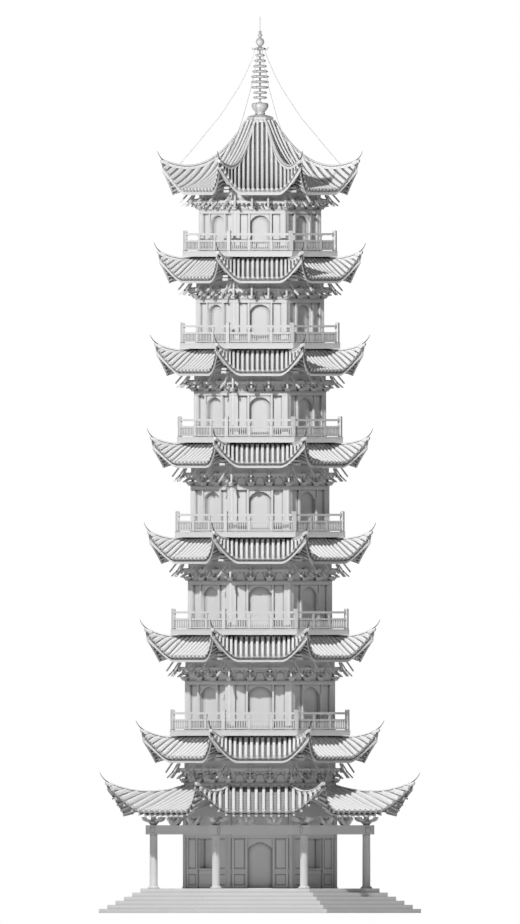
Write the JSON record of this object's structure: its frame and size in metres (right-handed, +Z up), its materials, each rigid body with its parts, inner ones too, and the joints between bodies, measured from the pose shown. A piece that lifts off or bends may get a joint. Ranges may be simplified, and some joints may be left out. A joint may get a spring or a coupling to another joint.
{
  "type": "pagoda",
  "caption": "Tall octagonal pagoda with upturned tiled eaves, balconies, arched doors, a columned ground gallery and a ringed spire with stays.",
  "frame": {"origin": "centre of the base's underside, on the ground", "axes": "+Z up the tower's axis, -Y out of the front door, +X to the right of a viewer facing that door"},
  "size_m": [14.18, 14.18, 39.47],
  "materials": {
    "stone": "matte dressed stone",
    "plaster": "matte plastered masonry",
    "timber": "matte painted timber",
    "tile": "matte unglazed tile",
    "metal": "matte painted iron"
  },
  "bodies": {
    "tower": {"stone_base": "stone", "gallery_column_1": "timber", "gallery_column_2": "timber", "gallery_column_3": "timber", "gallery_column_4": "timber", "gallery_column_5": "timber", "gallery_column_6": "timber", "gallery_column_7": "timber", "gallery_column_8": "timber", "gallery_beam": "timber", "skirt_roof": "tile", "roof_1": "tile", "roof_2": "tile", "roof_3": "tile", "roof_4": "tile", "roof_5": "tile", "roof_6": "tile", "roof_7": "tile", "wall_1_front_left": "plaster", "wall_1_front_right": "plaster", "wall_1_back_left": "plaster", "wall_1_back_right": "plaster", "wall_1_upper": "plaster", "wall_2": "plaster", "wall_3": "plaster", "wall_4": "plaster", "wall_5": "plaster", "wall_6": "plaster", "wall_7": "plaster", "brackets_1": "timber", "brackets_2": "timber", "brackets_3": "timber", "brackets_4": "timber", "brackets_5": "timber", "brackets_6": "timber", "brackets_7": "timber", "floor_2": "timber", "balustrade_2": "timber", "doors_2": "timber", "floor_3": "timber", "balustrade_3": "timber", "doors_3": "timber", "floor_4": "timber", "balustrade_4": "timber", "doors_4": "timber", "floor_5": "timber", "balustrade_5": "timber", "doors_5": "timber", "floor_6": "timber", "balustrade_6": "timber", "doors_6": "timber", "floor_7": "timber", "balustrade_7": "timber", "doors_7": "timber", "spire": "metal", "crown_and_stays": "metal"},
    "door_front_leaf": {"door_front": "timber"},
    "door_right_leaf": {"door_right": "timber"},
    "door_back_leaf": {"door_back": "timber"},
    "door_left_leaf": {"door_left": "timber"}
  },
  "joints": [
    {"name": "door_front_hinge", "type": "hinge", "parent": "tower", "child": "door_front_leaf", "pos_m": [-0.55, -3.135, 0], "axis": [0, 0, 1], "range_deg": [0, 90]},
    {"name": "door_right_hinge", "type": "hinge", "parent": "tower", "child": "door_right_leaf", "pos_m": [3.135, -0.55, 0], "axis": [0, 0, 1], "range_deg": [0, 90]},
    {"name": "door_back_hinge", "type": "hinge", "parent": "tower", "child": "door_back_leaf", "pos_m": [0.55, 3.135, 0], "axis": [0, 0, 1], "range_deg": [0, 90]},
    {"name": "door_left_hinge", "type": "hinge", "parent": "tower", "child": "door_left_leaf", "pos_m": [-3.135, 0.55, 0], "axis": [0, 0, 1], "range_deg": [0, 90]}
  ]
}
